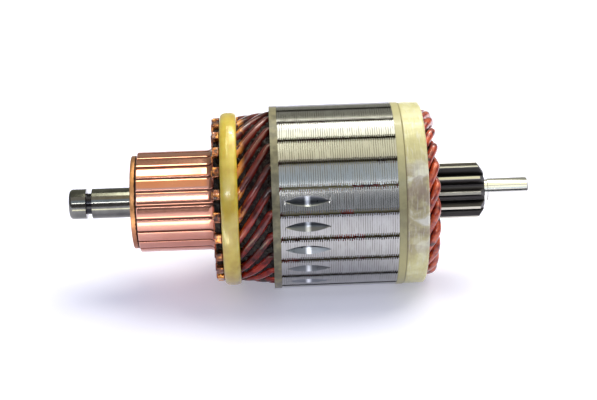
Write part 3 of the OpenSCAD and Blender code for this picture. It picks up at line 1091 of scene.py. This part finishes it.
def card(name, centre, across, up, size, colour, strength):
    """A flat panel that the metal mirrors but the camera doesn't see."""
    half_w, half_h = size[0] / 2, size[1] / 2
    across, up = unit(Vector(across)), unit(Vector(up))
    centre = Vector(centre)
    corners = [centre + across * half_w * a + up * half_h * b for a, b in ((-1, -1), (1, -1), (1, 1), (-1, 1))]
    mesh = bpy.data.meshes.new(name)
    mesh.from_pydata(corners, [], [(0, 1, 2, 3)])
    f = Finish(name + "_paint")
    f.end(f.node("ShaderNodeEmission", {}, {"Color": (*colour, 1), "Strength": strength}))
    mesh.materials.append(f.material)
    made = bpy.data.objects.new(name, mesh)
    bpy.context.scene.collection.objects.link(made)
    made.visible_camera = False
    made.visible_shadow = False
    made.visible_diffuse = False
    return made


def card_at(name, low, high, start, stop, colour, strength, distance=1.7):
    """A card over elevations low to high, and from start to stop along X.

    Elevation 0 is level at the front, 90 straight up and 180 level at the back.
    """
    middle, half = math.radians((low + high) / 2), math.radians((high - low) / 2)
    centre = ((start + stop) / 2, -distance * math.cos(middle), distance * math.sin(middle))
    up = (0, math.sin(middle), math.cos(middle))
    size = (stop - start, 2 * distance * math.tan(half))
    return card(name, centre, (1, 0, 0), up, size, colour, strength)


def lamp(name, location, target, size, power, colour):
    data = bpy.data.lights.new(name, "AREA")
    data.shape = "RECTANGLE"
    data.size, data.size_y = size
    data.energy = power
    data.color = colour
    made = bpy.data.objects.new(name, data)
    made.location = location
    made.rotation_mode = "QUATERNION"
    made.rotation_quaternion = (Vector(target) - Vector(location)).to_track_quat("-Z", "Y")
    bpy.context.scene.collection.objects.link(made)
    return made


def build_floor():
    f = Finish("table_white")
    lit = f.node("ShaderNodeBsdfDiffuse", {}, {"Color": (0.84, 0.84, 0.88, 1)})
    lifted = f.node(
        "ShaderNodeAddShader",
        {},
        {0: lit, 1: f.node("ShaderNodeEmission", {}, {"Color": (0.86, 0.87, 1.0, 1), "Strength": 0.36})},
    )
    f.end(f.node("ShaderNodeMixShader", {}, {0: seen_directly(f), 1: lit, 2: lifted}))
    z = cad_box[0].z
    mesh = bpy.data.meshes.new("table")
    steps, size = 48, 6.0
    turns = [2 * math.pi * i / steps for i in range(steps)]
    points = [(0, 0, z)] + [(size * math.cos(a), size * math.sin(a), z) for a in turns]
    mesh.from_pydata(points, [], [(0, 1 + i, 1 + (i + 1) % steps) for i in range(steps)])
    mesh.materials.append(f.material)
    made = bpy.data.objects.new("table", mesh)
    bpy.context.scene.collection.objects.link(made)


def seen_directly(f):
    """1 for rays from the camera and for the ones that metal or glass sends on."""
    camera, glossy, clear = (
        f.node("ShaderNodeLightPath", {}, {}, f"Is {kind} Ray") for kind in ("Camera", "Glossy", "Transmission")
    )
    return camera.math("MAXIMUM", camera, glossy.math("MAXIMUM", glossy, clear))


def build_world():
    world = bpy.data.worlds.new("studio")
    world.use_nodes = True
    bpy.context.scene.world = world
    f = Finish.in_tree(world.node_tree)
    fill = f.node("ShaderNodeBackground", {}, {"Color": (0.72, 0.76, 1.0, 1), "Strength": 0.5})
    white = f.node("ShaderNodeBackground", {}, {"Color": (1, 1, 1, 1), "Strength": 1.0})
    mixed = f.node("ShaderNodeMixShader", {}, {0: seen_directly(f), 1: fill, 2: white})
    f.node("ShaderNodeOutputWorld", {}, {"Surface": mixed})


def build_studio():
    build_world()
    build_floor()
    over = lamp("overhead", (0.42, 0.30, 0.90), (0.07, 0, 0), (1.0, 0.8), 12.5, (1.0, 0.97, 0.88))
    over.visible_glossy = False
    card_at("ceiling_dark", 76, 150, -1.8, 1.8, (0.30, 0.30, 0.24), 1.0, 1.9)
    card_at("window_left", 80, 108, -0.172, -0.045, (1.0, 0.98, 0.74), 8.0)
    card_at("front_gold", 52, 79, -0.172, 0.0, (0.85, 0.66, 0.34), 1.0, 1.72)
    card_at("overhead_back", 101, 135, 0.0, 1.6, (1.0, 0.99, 0.84), 2.4)
    card_at("overhead_front", 66, 101, 0.02, 1.6, (1.0, 0.97, 0.70), 1.35)
    card_at("front_warm", 50, 80, -1.7, 1.7, (0.62, 0.58, 0.52), 1.0, 1.75)
    card_at("front_blue", 31, 50, -1.7, 1.7, (0.72, 0.86, 1.0), 0.9, 1.75)
    card_at("strip_left", 27, 30, -0.6, 0.0, (1.0, 1.0, 1.0), 14.0)
    card_at("window_bright", 118, 121, 0.1, 0.8, (1.0, 1.0, 0.95), 18.0, 1.6)
    card_at("front_blue_right", 34, 66, 0.0, 0.33, (0.74, 0.87, 1.0), 0.75, 1.72)
    card_at("front_pale_right", 34, 66, 0.33, 1.7, (1.0, 1.0, 0.86), 1.2, 1.72)
    card_at("strip_right", 32, 36, 0.0, 0.33, (1.0, 1.0, 1.0), 4.5)
    card_at("room_dark", 1, 25, -1.8, 0.0, (0.16, 0.15, 0.15), 1.0, 1.9)
    card_at("room_grey", 1, 28, 0.0, 0.33, (0.42, 0.45, 0.50), 1.0, 1.9)
    card_at("room_dark_right", 3, 22, 0.33, 1.8, (0.05, 0.05, 0.06), 1.0, 1.85)
    card_at("back_dark", 148, 182, -1.8, 1.8, (0.33, 0.33, 0.28), 1.0, 1.9)
    table = cad_box[0].z
    card("table_dark", (-0.09, -0.40, table + 0.018), (1, 0, 0), (0, 0, 1), (0.25, 0.036), (0.2, 0.18, 0.17), 1.0)
    card("table_glow", (0.0, -0.078, table + 0.001), (1, 0, 0), (0, 1, 0), (0.08, 0.03), (1.0, 0.97, 0.76), 5.0)
    for side in (-1, 1):
        name = "side_dark_" + ("left", "right")[side > 0]
        centre = (0.07 + side * 1.6, 0, 0.75)
        card(name, centre, (0, 1, 0), (0, 0, 1), (4.2, 1.6), (0.22, 0.22, 0.23), 1.0)


def build_camera():
    elevation = math.radians(22.79)
    distance = 0.5445
    down = -0.00133
    data = bpy.data.cameras.new("camera")
    data.lens, data.sensor_width = 90.45, 36
    data.clip_start, data.clip_end = 0.01, 50
    made = bpy.data.objects.new("camera", data)
    up = Vector((0, math.sin(elevation), math.cos(elevation)))
    place = Vector((0.0557, -distance * math.cos(elevation), distance * math.sin(elevation))) + up * down
    target = Vector((0.0671, 0, 0)) + up * down
    made.location = place
    made.rotation_mode = "QUATERNION"
    aim = (target - place).to_track_quat("-Z", "Y")
    roll = Matrix.Rotation(math.radians(-1.55), 4, "Z").to_quaternion()
    made.rotation_quaternion = aim @ roll
    bpy.context.scene.collection.objects.link(made)
    bpy.context.scene.camera = made


build_camera()
build_shaft()
build_front_ring()
build_bars()
build_coils()
build_varnish()
build_cord_band()
build_glass_band()
build_core()
dress_kept_nodes()
build_studio()
bpy.context.scene.view_settings.view_transform = "Standard"
